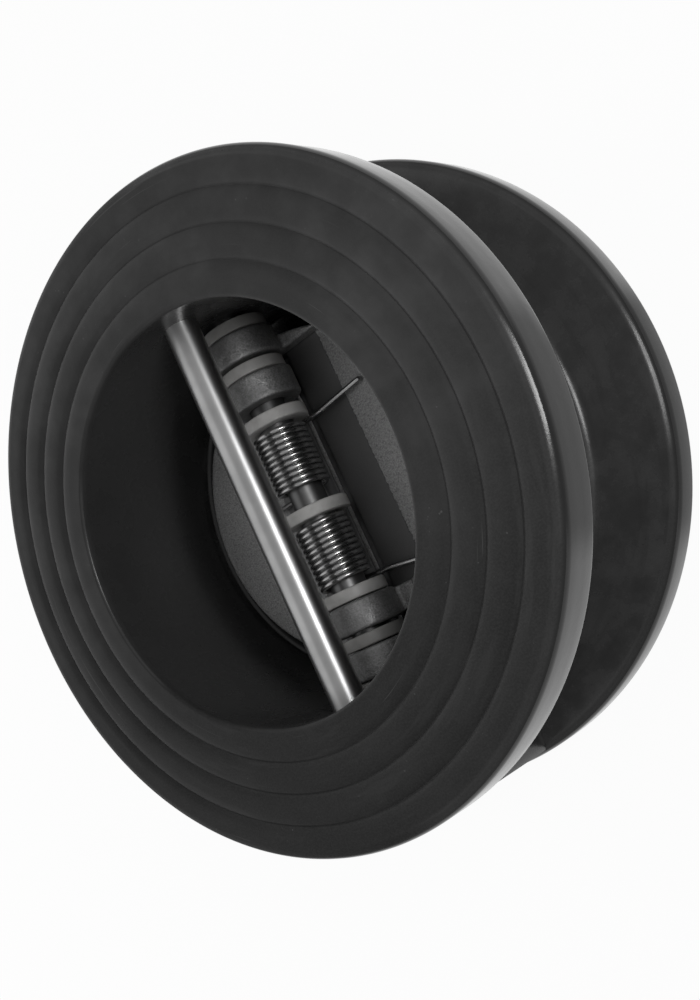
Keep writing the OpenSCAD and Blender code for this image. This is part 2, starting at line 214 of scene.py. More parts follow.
def prism(outline, start, end):
    """Outline (x, z) carried along Y from start to end, where it shrinks to its middle to close."""
    y = np.array([start, start, end, end])[:, None]
    scale = np.array([0.0, 1.0, 1.0, 0.0])[:, None]
    middle = outline.mean(axis=0)
    x = middle[0] + scale * (outline[:, 0] - middle[0])
    z = middle[1] + scale * (outline[:, 1] - middle[1])
    return np.stack([x, y + 0 * x, z], axis=-1)


square = rounded([(0, 0, 1), (4, 0, 1), (4, 4, 1), (0, 4, 1)])
print("a rounded square:", len(square), "points, cut finely:", len(subdivided(square, lambda a, b: 0.5)))


# %% [markdown]
# ## The rubber-covered body
#
# On the real valve black rubber is moulded over an iron spool, so the body is one
# skin without a seam: inlet face, rim, waist, rim, outlet face, bore and seat. A
# lathe would make all of it but the two bosses that carry the pin plugs. Here the
# section is spun about the valve axis, and wherever the spun waist lies inside the
# boss outline, the point is pushed straight out to that outline. The sealing faces
# get three shallow valleys each, which meet in a soft crease at their deepest line.

# %% Section of the body
GROOVES, GROOVE_FIRST, GROOVE_STEP, GROOVE_DEPTH = 3, BORE_R + 7.7, 7.65, 0.6
WIDE_SHARE, CREASE_SHARE, CREASE_WIDTH = 0.34, 0.66, 0.55
FACE_CELL, WAIST_CELL, BACK_CELL, OTHER_CELL = 0.32, 1.5, 0.95, 3.2  # longest side of a cell


def groove(radius):
    """Depth of the sealing face below its crown.

    A wide shallow parabola plus a narrow crease, which fades by e over its width, at its lowest line."""
    turn = (radius - GROOVE_FIRST) / GROOVE_STEP
    off = np.abs(turn - np.round(turn))
    wide = (1 - np.minimum(1, 2 * off)) ** 2
    crease = np.exp(-off * GROOVE_STEP / CREASE_WIDTH)
    depth = GROOVE_DEPTH * (WIDE_SHARE * wide + CREASE_SHARE * crease)
    return np.where((turn > -0.5) & (turn < GROOVES - 0.5), depth, 0.0)


def body_section():
    """Outline of half the spool in (radius, height), rounded at every edge."""
    outline = rounded([
        (SEAT_R, 0, 1.2), (BODY_R, 0, EDGE), (BODY_R, LOW_FLANGE, EDGE),
        (WAIST_R, LOW_FLANGE, 3), (WAIST_R, TOP_FLANGE, 3), (BODY_R, TOP_FLANGE, EDGE),
        (BODY_R, FACE, EDGE), (BORE_R, FACE, 0.8), (BORE_R, SEAT_Z, 2), (SEAT_R, SEAT_Z, 0.8),
    ], steps=7)

    def step(a, b):
        if a[1] == b[1] == FACE:
            return FACE_CELL
        if a[0] == b[0] == WAIST_R:
            return WAIST_CELL
        return BACK_CELL if a[1] == b[1] == 0 else OTHER_CELL
    outline = subdivided(outline, step)
    face = outline[:, 1] == FACE
    back = (outline[:, 1] == 0) & (outline[:, 0] > GROOVE_FIRST - GROOVE_STEP / 2)
    outline[:, 1] += np.where(back, groove(outline[:, 0]), 0) - np.where(face, groove(outline[:, 0]), 0)
    return outline


section = body_section()
print("section points:", len(section), "depth of a groove at its crease:", float(groove(GROOVE_FIRST)))


# %% [markdown]
# ### Bosses
#
# At both ends of the pins the real body bridges its waist with a block, which the
# pin bores run through. It has flat sides, rounded corners and a front just inside
# the flange rim. Joined on as a piece of its own, it would leave a seam. So the spun
# skin is pushed out, and the plan outline of the boss gives the radius to reach at
# each angle. The columns are closer together where a side of the boss lies.

# %% Spin the section and push the bosses out
BOSS_HALF, BOSS_R, BOSS_ROUND, FOOT_ROUND, FOOT_LONG = 17.0, BODY_R - 0.7, 4.0, 3.0, 9.0
BOSS_CELL, SLACK = 0.6, 0.01
COARSE_TURN, FINE_TURN = 1.25, 0.42  # degrees from one column to the next
SIDE_FROM, SIDE_TO = 9.5, 20.5  # degrees from the Y axis between which a boss side lies


def boss_reach(angle):
    """Radius of the boss outline at an angle from the Y axis, read off its plan outline."""
    foot = math.sqrt(WAIST_R ** 2 - (BOSS_HALF + FOOT_ROUND) ** 2)
    outline = rounded([(0, BOSS_R, 0), (BOSS_HALF, BOSS_R, BOSS_ROUND),
                       (BOSS_HALF, foot, FOOT_ROUND), (BOSS_HALF + FOOT_LONG, foot, 0), (0, 0, 0)],
                      steps=10)[:-2]
    plan = subdivided(outline, lambda a, b: BOSS_CELL)
    plan = plan[:1 + np.flatnonzero((plan == outline[-1]).all(axis=1))[0]]
    plan = plan[plan[:, 1] > foot - SLACK]
    turn = np.arctan2(plan[:, 0], plan[:, 1])
    order = np.argsort(turn)
    reach = np.minimum(np.hypot(plan[:, 0], plan[:, 1]), BOSS_R)
    return np.interp(angle, turn[order], reach[order], right=0.0)


def body_grid(section):
    """Section spun about Z; between the flanges the radius is the larger of spool and boss."""
    coarse = np.arange(0, 360, COARSE_TURN)
    near = np.abs(coarse % 180 - 90)
    angle = coarse[(near < SIDE_FROM) | (near > SIDE_TO)]
    fine = np.arange(SIDE_FROM, SIDE_TO, FINE_TURN)
    angle = np.sort(np.concatenate([angle] + [c + s * fine for c in (90, 270) for s in (-1, 1)]))
    angle = np.radians(angle)
    off = np.abs(np.arctan2(np.cos(angle), np.abs(np.sin(angle))))
    radius = section[:, :1] + 0 * angle
    between = (section[:, 1:] > LOW_FLANGE - SLACK) & (section[:, 1:] < TOP_FLANGE + SLACK)
    outside = section[:, :1] > BORE_R + 1
    radius = np.where(between & outside, np.maximum(radius, boss_reach(off)), radius)
    height = section[:, 1:] + 0 * angle
    return np.stack([radius * np.cos(angle), radius * np.sin(angle), height], axis=-1)


grid = body_grid(section)
print("body grid:", grid.shape[0], "rows by", grid.shape[1], "columns")


# %% [markdown]
# ### Bar and pockets
#
# A bar divides the seat and carries the straight edges of both plates. It is one
# outline carried along Y, with a rounded nose toward the flow. The pockets in the
# boss fronts hold the plugs. A round hole through a curved skin is easiest as a cut:
# a spun tool is taken out of the body, and the result becomes the body's own mesh.

# %% The bar across the seat and the plug pockets
BAR_HALF, BAR_LOW, BAR_NOSE, BAR_ROUND, BAR_END = 4.5, 2.0, 4.4, 0.7, 39.4
POCKET_R, PAST_BOSS = 7.86, 86.0


def bar_grid():
    """Bar section, with a rounded nose below and a square top, carried along Y and closed at both ends."""
    return prism(rounded([(-BAR_HALF, SEAT_Z, BAR_ROUND), (BAR_HALF, SEAT_Z, BAR_ROUND),
                          (BAR_HALF, BAR_LOW, BAR_NOSE), (-BAR_HALF, BAR_LOW, BAR_NOSE)], steps=8),
                 -BAR_END, BAR_END)


def cut(piece, cutter):
    """Take the cutter out of the piece for good."""
    tool = piece.modifiers.new("cut", "BOOLEAN")
    tool.object, tool.operation, tool.solver = cutter, "DIFFERENCE", "EXACT"
    apply_modifiers(piece)
    bpy.data.objects.remove(cutter)


body = skin("rubber_skin", [(grid, True, True), (bar_grid(), False, True)])
pockets = []
for name in ("hinge", "stop"):
    for end, side in (("upper", 1), ("lower", -1)):
        low, high = span(f"{end}_{name}_plug_seal")
        seat = low[1] if side > 0 else high[1]
        past = side * PAST_BOSS
        pocket = np.array([[0, seat], [POCKET_R, seat], [POCKET_R, past], [0, past]])
        pockets.append((turned(pocket, 96, "Y", (0, (low[2] + high[2]) / 2)), False, True))
cut(body, skin("pockets", pockets))
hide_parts("rubber_body")
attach(body, "valve_body")
print("rubber skin faces:", len(body.data.polygons))


# %% [markdown]
# ## The two plates
#
# Both plates come out of one mould: a half disc, two arms and two lugs, with a relief
# along the straight edge so that the springs have room, and a pad that meets the stop
# pin when the plate is open. A casting has no sharp inner corner: metal flows in and
# leaves a fillet. The simple way to get such fillets is to lay plain solids into each
# other, melt them into one skin with a voxel remesh, and relax the skin a little.

# %% Plain solids of one plate
PLATE_R, PLATE_LOW, PLATE_TOP, RELIEF, HALF_GAP = 42.5, 15.8, 22.2, 3.0, 0.6
LUG_R, LUG_LONG, OUTER_LUG, INNER_LUG = 9.5, 7.2, 38.2, 26.8
ARM_TOP, ARM_R = HINGE_Z - 6.0, 43.3
RELIEF_EDGE, ARM_REACH, ARM_SINK, ARM_INSET = 4.4, 24.0, 0.7, 0.5
SHOULDER_REACH, SHOULDER_RISE, SHOULDER_TIP = 8.6, 0.7, 1.0
LUG_BORE, LUG_ROUND, LUG_BORE_ROUND, DISC_MIDDLE = 4.58, 0.5, 0.3, (18.0, 0.0)
OPEN_ANGLE, STOP_R, PAD_R, PAD_GAP, PAD_SINK = math.radians(82), 4.25, 4.0, 0.05, 1.0


def half_disc(chord, low, high, edge=0.45):
    """Half-disc slab, whose outline is a chord and an arc.

    Each row of its rounded edge moves the outline inward by the inset of that row."""
    turn = np.linspace(0, math.pi / 2, 5)
    inset = np.concatenate([edge * (1 - np.sin(turn)), edge * (1 - np.cos(turn))])[:, None]
    height = np.concatenate([high - edge * (1 - np.cos(turn)), low + edge * (1 - np.sin(turn))])[:, None]
    corner = np.sqrt((PLATE_R - inset) ** 2 - (chord + inset) ** 2)
    swing = np.arctan2(corner, chord + inset)
    t, s = np.linspace(-1, 1, 60), np.linspace(1, -1, 120)[1:-1]
    x = np.concatenate([chord + inset + 0 * t, (PLATE_R - inset) * np.cos(swing * s)], axis=1)
    y = np.concatenate([corner * t, (PLATE_R - inset) * np.sin(swing * s)], axis=1)
    rows = np.stack([x, y, height + 0 * x], axis=-1)
    top, bottom = rows[:1].copy(), rows[-1:].copy()
    top[..., :2], bottom[..., :2] = DISC_MIDDLE, DISC_MIDDLE
    return np.concatenate([top, rows, bottom])


def lug_grid(start):
    """Ring section of a lug, spun about the hinge pin."""
    end = start + LUG_LONG
    ring = rounded([(LUG_BORE, start, LUG_BORE_ROUND), (LUG_R, start, LUG_ROUND),
                    (LUG_R, end, LUG_ROUND), (LUG_BORE, end, LUG_BORE_ROUND)], steps=4)
    return turned(ring, 120, "Y", (0, HINGE_Z))


def arm_grid(start, reach, high, tip=4.0):
    """Arm sections along X, each a box.

    Its top follows a quarter round at the tip, and its sides stay inside the arm circle."""
    x = np.concatenate([[HALF_GAP], np.linspace(HALF_GAP, reach - tip, 30),
                        reach - tip + tip * np.sin(np.linspace(0.1, math.pi / 2, 12)), [reach]])
    over = np.clip((x - (reach - tip)) / tip, 0, 1)
    top = high - tip * (1 - np.sqrt(1 - over ** 2))
    low = np.full_like(x, PLATE_LOW + ARM_SINK)
    limit = np.sqrt(ARM_R ** 2 - x ** 2)
    y0 = np.clip(np.full_like(x, start + ARM_INSET), -limit, limit)
    y1 = np.clip(np.full_like(x, start + LUG_LONG - ARM_INSET), -limit, limit)
    middle, level = (y0 + y1) / 2, (top + low) / 2
    open_end = np.ones_like(x)
    open_end[[0, -1]] = 0
    wide = np.stack([y0 - middle, y1 - middle, y1 - middle, y0 - middle], axis=1)
    tall = np.stack([low - level, low - level, top - level, top - level], axis=1)
    y = middle[:, None] + open_end[:, None] * wide
    z = level[:, None] + open_end[:, None] * tall
    return np.stack([x[:, None] + 0 * y, y, z], axis=-1)


def pad_grid(start):
    """Stop pad: a post with a half-round top where the stop pin lands at the open angle."""
    rise = STOP_Z - HINGE_Z
    x0 = rise * math.sin(OPEN_ANGLE)
    top = HINGE_Z + rise * math.cos(OPEN_ANGLE) - STOP_R - PAD_GAP
    turn = np.linspace(0, math.pi, 24)
    x = np.concatenate([[x0 + PAD_R], x0 + PAD_R * np.cos(turn), [x0 - PAD_R]])
    foot = [PLATE_TOP - PAD_SINK]
    z = np.concatenate([foot, top - PAD_R + PAD_R * np.sin(turn), foot])
    return prism(np.stack([x, z], axis=1), start + ARM_INSET, start + LUG_LONG - ARM_INSET)


print("arm top", ARM_TOP, "pad top", round(float(pad_grid(0)[..., 2].max()), 2))


# %% [markdown]
# ### One casting from many solids
#
# Laid into each other, the solids still meet in knife edges. A voxel remesh wraps
# one skin round them all on a fine grid, and a few smoothing rounds relax the steps
# of that grid into fillets. The left plate is the right one turned half round, as
# both come from one mould. Then both slide along the pin to where the solids sit.

# %% Melt them into one casting
def remelt(piece, voxel, rounds):
    """Voxel remesh, then a few relaxing rounds that turn the steps into small fillets."""
    melt = piece.modifiers.new("melt", "REMESH")
    melt.mode, melt.voxel_size, melt.use_smooth_shade = "VOXEL", voxel * MM, True
    relax = piece.modifiers.new("relax", "SMOOTH")
    relax.factor, relax.iterations = 0.5, rounds
    apply_modifiers(piece, sharp=180.0)


drop = span("right_plate")[1][1] - (OUTER_LUG + LUG_LONG)
inner = -INNER_LUG - LUG_LONG
right = skin("right_plate_casting", [
    (half_disc(HALF_GAP, PLATE_LOW, PLATE_TOP - RELIEF), False, True),
    (half_disc(RELIEF_EDGE, PLATE_LOW + 0.2, PLATE_TOP), False, True),
    (arm_grid(OUTER_LUG, ARM_REACH, ARM_TOP), False, True),
    (arm_grid(inner, ARM_REACH, ARM_TOP), False, True),
    (arm_grid(OUTER_LUG, SHOULDER_REACH, ARM_TOP + SHOULDER_RISE, SHOULDER_TIP), False, True),
    (arm_grid(inner, SHOULDER_REACH, ARM_TOP + SHOULDER_RISE, SHOULDER_TIP), False, True),
    (pad_grid(inner), False, True),
    (lug_grid(OUTER_LUG), True, True),
    (lug_grid(inner), True, True),
])
remelt(right, voxel=0.345, rounds=5)
left = bpy.data.objects.new("left_plate_casting", right.data.copy())
bpy.context.scene.collection.objects.link(left)
left.data.transform(Matrix.Rotation(math.pi, 4, "Z"))
for plate, node, disc in ((right, "right_plate", "right_disc"), (left, "left_plate", "left_disc")):
    plate.data.transform(Matrix.Translation((0, drop * MM, 0)))
    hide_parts(node)
    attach(plate, disc)
print("plate faces:", len(right.data.polygons), "stack drop", round(drop, 2))


# %% [markdown]
# ## Pins and washers
#
# Pins and washers are lathe work, so each is a section spun about the pin axis. The
# ends of a pin lie inside the body; only its round and its chamfers need care. The
# white washers keep the lugs, the springs and the body from rubbing on each other.

# %% Spin the pins
CHAMFER, CHAMFER_ROUND = 0.8, 0.2


def pin_piece(node, name):
    """Pin section with a chamfer at both ends, sized by the box of its solid."""
    low, high = span(node)
    radius, middle = (high[2] - low[2]) / 2, (high[2] + low[2]) / 2
    flat, y0, y1 = radius - CHAMFER, low[1] + CHAMFER, high[1] - CHAMFER
    section = rounded([(0, low[1], 0), (flat, low[1], CHAMFER_ROUND), (radius, y0, CHAMFER_ROUND),
                       (radius, y1, CHAMFER_ROUND), (flat, high[1], CHAMFER_ROUND), (0, high[1], 0)], steps=3)
    piece = skin(name, [(turned(section, 160, "Y", (0, middle)), False, True)])
    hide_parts(node)
    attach(piece, "valve_body")
    return piece


hinge_pin = pin_piece("hinge_pin", "hinge_pin_ground")
stop_pin = pin_piece("stop_pin", "stop_pin_ground")
print("pins:", hinge_pin.name, stop_pin.name)


# %% [markdown]
# ### Washers
#
# A washer is a flat ring with a small round at its rim. The seven differ only in
# their place on the pin, so one function makes them all from the boxes of their solids.

# %% Spin the washers
WASHER_GAP, WASHER_ROUND, WASHER_BORE_ROUND = 0.1, 0.42, 0.15


def washer_piece(node):
    """Washer section with small rounds, spun about the hinge pin."""
    low, high = span(node)
    radius = (high[2] - low[2]) / 2
    bore = PIN_R + WASHER_GAP
    section = rounded([(bore, low[1], WASHER_BORE_ROUND), (radius, low[1], WASHER_ROUND),
                       (radius, high[1], WASHER_ROUND), (bore, high[1], WASHER_BORE_ROUND)], steps=5)
    piece = skin(f"{node}_turned", [(turned(section, 128, "Y", (0, HINGE_Z)), True, True)])
    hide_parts(node)
    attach(piece, "valve_body")
    return piece


washers = [washer_piece(node) for node in (
    "upper_body_washer", "upper_lug_washer", "upper_spring_washer", "centre_washer",
    "lower_spring_washer", "lower_lug_washer", "lower_body_washer")]
print("washers:", len(washers))


# %% [markdown]
# ## The torsion springs
#
# Each spring presses on both plates at once: one leg lies on the left plate and the
# other on the right. When the plates open, the legs ride up with them and the coil
# winds tighter from its middle outward. A rigid wire can't show that, so each spring
# is made as two half coils that meet in the middle.

# %% Wire along a path
WIRE_R, COIL_R, LEG_REACH, LEG_REST, TURNS = 0.7, 6.25, 21.5, 23.2, 11
LEG_BEND, LEG_STEP, LEG_LEAN, STRETCH, BEND_SOFT = 6.5, 0.2, 2.1, 0.9, 0.004
COIL_POINTS, LEG_POINTS, SETTLE = 300, 40, 0.12
LEG_DIP = math.degrees(math.atan((HINGE_Z - COIL_R - LEG_REST) / LEG_REACH))


def wire_grid(path, radius, sides=18):
    """Round section carried along a path, square to it, with the ends drawn in to a dome."""
    ahead = np.gradient(path, axis=0)
    ahead /= np.linalg.norm(ahead, axis=1)[:, None]
    side = np.cross(ahead, [0.0, 1.0, 0.0])
    side /= np.linalg.norm(side, axis=1)[:, None]
    up = np.cross(side, ahead)
    turn = np.linspace(0, 2 * math.pi, sides, endpoint=False)
    ring = side[:, None] * np.cos(turn)[:, None] + up[:, None] * np.sin(turn)[:, None]
    grid = path[:, None] + radius * ring
    dome = np.radians([90, 60, 30])
    shrink, advance = np.cos(dome)[:, None, None], np.sin(dome)[:, None, None]
    tail = path[-1] + radius * (shrink * ring[-1] + advance * ahead[-1])
    head = path[:1, None] + 0 * ring[:1]
    return np.concatenate([head, grid, tail[::-1]])


def half_spring(low, high, way, side):
    """Half of a coil: a helix about the hinge pin from the coil's middle, then a leg down to the plate.

    The right legs lean outward past a soft bend, so that they pass clear of the washer rim, and the
    lower coil opens a little in its last half turn."""
    sweep = 360 * TURNS - 2 * LEG_DIP
    last_half = (180 - LEG_DIP) / sweep
    share = np.linspace(0.5, 1.0 if side > 0 else 0.0, COIL_POINTS)
    angle = np.radians(-90 + LEG_DIP + share * sweep)
    if way > 0:
        y = low + (high - low) * share
    else:
        opened = np.clip((share - 1 + last_half) / last_half, 0, 1)
        y = low + (high - low - STRETCH) * (1 - share) + STRETCH * (1 - opened)
    coil = np.stack([COIL_R * np.cos(angle), y, HINGE_Z + COIL_R * np.sin(angle)], axis=1)
    tip = np.array([side * LEG_REACH, y[-1], LEG_REST])
    along = np.linspace(0, 1, LEG_POINTS)[1:, None]
    leg = coil[-1] + (tip - coil[-1]) * along
    past = np.maximum(0.0, side * leg[:, 0] - LEG_BEND) / (LEG_REACH - LEG_BEND)
    if side > 0:
        leg[:, 1] += way * LEG_STEP * np.clip(leg[:, 0] / LEG_BEND, 0, 1) ** 2
        leg[:, 1] += way * LEG_LEAN * (np.sqrt(past ** 2 + BEND_SOFT) - np.sqrt(BEND_SOFT))
    return np.concatenate([coil, leg]), y[-1]


print("legs reach down by", round(LEG_DIP, 1), "degrees")


# %% [markdown]
# ### Four halves
#
# The two springs are wound to opposite hands, so their legs mirror each other. Each
# half is wound at rest, one toward each plate.

# %% Wind the four halves
springs = []
for node, way in (("upper_spring", 1), ("lower_spring", -1)):
    box_low, box_high = span(node)
    low, high = box_low[1] + WIRE_R, box_high[1] - WIRE_R
    aside = LEG_LEAN + LEG_STEP
    low, high = (low, high - aside) if way > 0 else (low + aside, high)
    for side, disc in ((1, "right_disc"), (-1, "left_disc")):
        path, leg_y = half_spring(low, high, way, side)
        name = f"{node}_{'right' if side > 0 else 'left'}_half"
        half = skin(name, [(wire_grid(path, WIRE_R), False, True)])
        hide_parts(node)
        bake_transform(half)
        springs.append(half)
print("spring halves:", [s.name for s in springs])


# %% [markdown]
# ## Finishes
#
# A finish is more than a colour. Moulded rubber has a faint mottling from the mould,
# dust in its low places and a gloss that rises where it was handled. All patterns
# here are noise in Object coordinates, which are metres on the object itself, so they
# stay put in every view and pose. One helper keeps the node trees short to write.

# %% Node helpers
class Tree:
    """Short-hand for a material's node tree: each call adds one node and returns its main output."""

    def __init__(self, name):
        self.material = bpy.data.materials.new(name)
        self.material.use_nodes = True
        self.nodes = self.material.node_tree.nodes
        self.links = self.material.node_tree.links
        self.shader = self.nodes["Principled BSDF"]
        self.place = self.node("ShaderNodeTexCoord").outputs["Object"]

    def node(self, kind, **values):
        """One new node of a kind, with the given settings."""
        made = self.nodes.new(kind)
        for key, value in values.items():
            setattr(made, key, value)
        return made

    def put(self, socket, value):
        """Link an output to a socket, or write a plain number or colour into it."""
        if isinstance(value, bpy.types.NodeSocket):
            self.links.new(value, socket)
        else:
            socket.default_value = value

    def noise(self, scale, detail=3.0, rough=0.5, place=None, stretch=None):
        """Noise with its scale in features per metre; stretch squeezes it along an axis."""
        if stretch is not None:
            mapping = self.node("ShaderNodeMapping")
            mapping.inputs["Scale"].default_value = stretch
            self.links.new(place or self.place, mapping.inputs["Vector"])
            place = mapping.outputs["Vector"]
        made = self.node("ShaderNodeTexNoise")
        self.links.new(place or self.place, made.inputs["Vector"])
        made.inputs["Scale"].default_value = scale
        made.inputs["Detail"].default_value = detail
        made.inputs["Roughness"].default_value = rough
        return made.outputs["Fac"]

    def ramp(self, value, low, high, start=0.0, end=1.0):
        """Map low..high to start..end, clamped, with a smooth run."""
        made = self.node("ShaderNodeMapRange", interpolation_type="SMOOTHSTEP")
        for socket, number in zip(made.inputs[:5], (value, low, high, start, end)):
            self.put(socket, number)
        return made.outputs["Result"]

    def math(self, operation, a, b=0.0):
        """Result of one operation on two numbers or outputs."""
        made = self.node("ShaderNodeMath", operation=operation)
        for socket, number in zip(made.inputs, (a, b)):
            self.put(socket, number)
        return made.outputs["Value"]

    def times(self, a, b):
        """Product of two; of two masks, that is where both hold."""
        return self.math("MULTIPLY", a, b)

    def mix(self, factor, a, b):
        """Blend of two colours."""
        made = self.node("ShaderNodeMix", data_type="RGBA")
        self.put(made.inputs[0], factor)
        self.put(made.inputs[6], a)
        self.put(made.inputs[7], b)
        return made.outputs[2]

    def bump(self, height, distance, strength=1.0):
        """Chain of bumps: each call adds to the one before."""
        made = self.node("ShaderNodeBump")
        made.inputs["Distance"].default_value = distance
        made.inputs["Strength"].default_value = strength
        self.links.new(height, made.inputs["Height"])
        normal = self.shader.inputs["Normal"]
        if normal.is_linked:
            self.links.new(normal.links[0].from_socket, made.inputs["Normal"])
        self.links.new(made.outputs["Normal"], normal)

    def axes(self):
        """X, Y and Z of the place on the object, in metres."""
        made = self.node("ShaderNodeSeparateXYZ")
        self.links.new(self.place, made.inputs[0])
        return made.outputs

    def finish(self, **sockets):
        """Fill the shader's own sockets and give back the material."""
        names = {"color": "Base Color", "rough": "Roughness", "metal": "Metallic", "ior": "IOR",
                 "spec": "Specular IOR Level", "sub": "Subsurface Weight", "aniso": "Anisotropic"}
        for key, value in sockets.items():
            self.put(self.shader.inputs[names[key]], value)
        return self.material


def grey(value):
    """Neutral colour of the given brightness."""
    return (value, value, value, 1.0)


def plan_radius(tree, x, y):
    """Distance from the Z axis: the root of x squared plus y squared."""
    return tree.math("SQRT", tree.math("ADD", tree.times(x, x), tree.times(y, y)))


def band(tree, value, low, high, soft):
    """One between low and high, zero outside, with soft sides."""
    rise = tree.ramp(value, low - soft, low + soft)
    fall = tree.ramp(value, high - soft, high + soft, 1.0, 0.0)
    return tree.times(rise, fall)


# %% [markdown]
# ### Rubber
#
# The face is matt and slightly dusty, so it shows its own dark grey and hardly any
# gloss. The rims were moulded against polished steel and mirror the table. The bore
# is in between, and the seat is painted nearly black as shade. Radius and height on
# the object tell the finish which of them it is on. On the far side, where low light
# comes from, the dust runs on over the outer round, and the edge of the bore keeps its
# gloss.

# %% Zones of the rubber
# Heights, radii and sides in metres; a pair says where a zone ends or fades.
TOP_ZONE, DUSTY_RING, RIM_ZONE = (0.0612, 0.0630), (0.0480, 0.0788), (0.0798, 0.0806)
OUTER_ROUND, FAR_SIDE = (0.0770, 0.0806), (0.005, 0.035)
BORE_EDGE, BORE_EDGE_TOP, BORE_EDGE_SIDE = (0.0490, 0.05005), (0.0629, 0.0634), (-0.044, -0.040)
BACK_TOP, BACK_ROUND, WAIST_ZONE = (0.0108, 0.0125), (0.0795, 0.0785), (0.0106, 0.0500)
BORE_WALL, BORE_ZONE = (0.0499, 0.0505), (0.0175, 0.0625)
# The seat zone: painted shade makes it nearly black.
SEAT_SHADE_WALL, SEAT_SHADE_ZONE = (0.0490, 0.0496), (0.0165, 0.0180)


def rubber_zones(tree, x, z, radius):
    """Masks of the dusty face, the inner side of the inlet flange, the rims, the bore and the seat, whose
    mask carries painted shade.
    """
    far_round = tree.times(tree.ramp(x, *FAR_SIDE, 1.0, 0.0), band(tree, radius, *OUTER_ROUND, 0.0004))
    dusty = tree.math("MAXIMUM", band(tree, radius, *DUSTY_RING, 0.0006), far_round)
    bore_edge = tree.times(tree.ramp(z, *BORE_EDGE_TOP), band(tree, radius, *BORE_EDGE, 0.0002))
    bore_edge = tree.times(bore_edge, tree.ramp(x, *BORE_EDGE_SIDE, 1.0, 0.0))
    face = tree.times(tree.ramp(z, *TOP_ZONE), tree.math("SUBTRACT", dusty, bore_edge))
    back = tree.times(tree.ramp(z, *BACK_TOP, 1.0, 0.0), tree.ramp(radius, *BACK_ROUND, 0.0, 1.0))
    flanges = tree.math("SUBTRACT", 1.0, band(tree, z, *WAIST_ZONE, 0.0004))
    rim = tree.times(tree.ramp(radius, *RIM_ZONE), flanges)
    bore = tree.times(tree.ramp(radius, *BORE_WALL, 1.0, 0.0), band(tree, z, *BORE_ZONE, 0.0008))
    seat = tree.times(tree.ramp(radius, *SEAT_SHADE_WALL, 1.0, 0.0), tree.ramp(z, *SEAT_SHADE_ZONE, 1.0, 0.0))
    return face, back, rim, bore, seat


# %% [markdown]
# Dust gathers in rings, so some of the noise is read at (direction, radius), where a
# small step outward counts for much more than a step around. The colour is built up
# in layers, as on the real one: the rubber, its dust, and then what each zone adds.
# The seat's layer is painted shade, which makes it nearly black.

# %% Rubber finish
LOWER_TO_UPPER = (-0.050, 0.025)  # Y over which the face gets paler


def ring_place(tree, x, y, radius, around, outward):
    """Vector (x / r, y / r, 0) * around + (0, 0, r) * outward: noise read there is drawn out into rings."""
    made = tree.node("ShaderNodeCombineXYZ")
    for socket, value in ((0, tree.math("DIVIDE", x, radius)), (1, tree.math("DIVIDE", y, radius))):
        tree.put(made.inputs[socket], tree.times(value, around))
    tree.put(made.inputs[2], tree.times(radius, outward))
    return made.outputs[0]


def rubber_finish():
    """Colour from layers, each laid over the last by its share; roughness and gloss from the same zones."""
    tree = Tree("moulded_rubber")
    x, y, z = tree.axes()
    radius = plan_radius(tree, x, y)
    face, back, rim, bore, seat = rubber_zones(tree, x, z, radius)
    cloud, patch = tree.noise(34, 4, 0.6), tree.noise(120, 5, 0.62)
    grain, fleck = tree.noise(2300, 2, 0.6), tree.noise(1100, 1, 0.4)
    ring = tree.noise(1.0, 3, 0.6, place=ring_place(tree, x, y, radius, 3.2, 420.0))
    line = tree.noise(1.0, 2, 0.5, place=ring_place(tree, x, y, radius, 1.6, 1500.0))
    speck = tree.times(tree.ramp(fleck, 0.74, 0.79), tree.ramp(patch, 0.52, 0.66))
    dusty = tree.ramp(tree.math("ADD", tree.times(cloud, 0.5), tree.times(patch, 0.5)), 0.38, 0.66)
    upper = tree.ramp(y, *LOWER_TO_UPPER)
    clean = tree.mix(upper, grey(0.017), grey(0.032))
    shade = tree.mix(dusty, clean, tree.mix(upper, grey(0.023), grey(0.052)))
    layers = (
        (tree.times(back, tree.ramp(patch, 0.35, 0.65, 0.55, 0.95)), 0.070),  # dust on the inlet flange
        (tree.times(tree.ramp(ring, 0.52, 0.70), 0.45), 0.038),  # rings of dust
        (tree.times(tree.ramp(line, 0.70, 0.76), tree.times(face, 0.5)), 0.11),  # fine lines on the face
        (tree.times(tree.ramp(grain, 0.3, 0.75), 0.45), 0.042),  # grain of the mould
        (tree.times(speck, 0.5), 0.12),
        (tree.times(rim, 0.85), 0.008),
        # painted shade: the seat, deep in the bore, is made nearly black
        (tree.times(seat, 0.8), 0.004),
        (tree.times(bore, 0.75), 0.034),
    )
    for share, level in layers:
        shade = tree.mix(share, shade, grey(level))
    rough = tree.mix(face, tree.ramp(patch, 0.3, 0.75, 0.22, 0.34), grey(0.86))
    rough = tree.mix(bore, rough, tree.ramp(patch, 0.35, 0.7, 0.24, 0.32))
    rough = tree.mix(rim, rough, tree.ramp(patch, 0.35, 0.7, 0.08, 0.14))
    tree.bump(grain, 0.00003, 0.4)
    tree.bump(patch, 0.0001, 0.25)
    tree.bump(tree.times(cloud, rim), 0.0004, 0.35)
    return tree.finish(color=shade, rough=rough, ior=1.5, spec=tree.mix(face, grey(0.5), grey(0.22)))


rubber = rubber_finish()
body.data.materials.append(rubber)
print("rubber nodes:", len(rubber.node_tree.nodes))
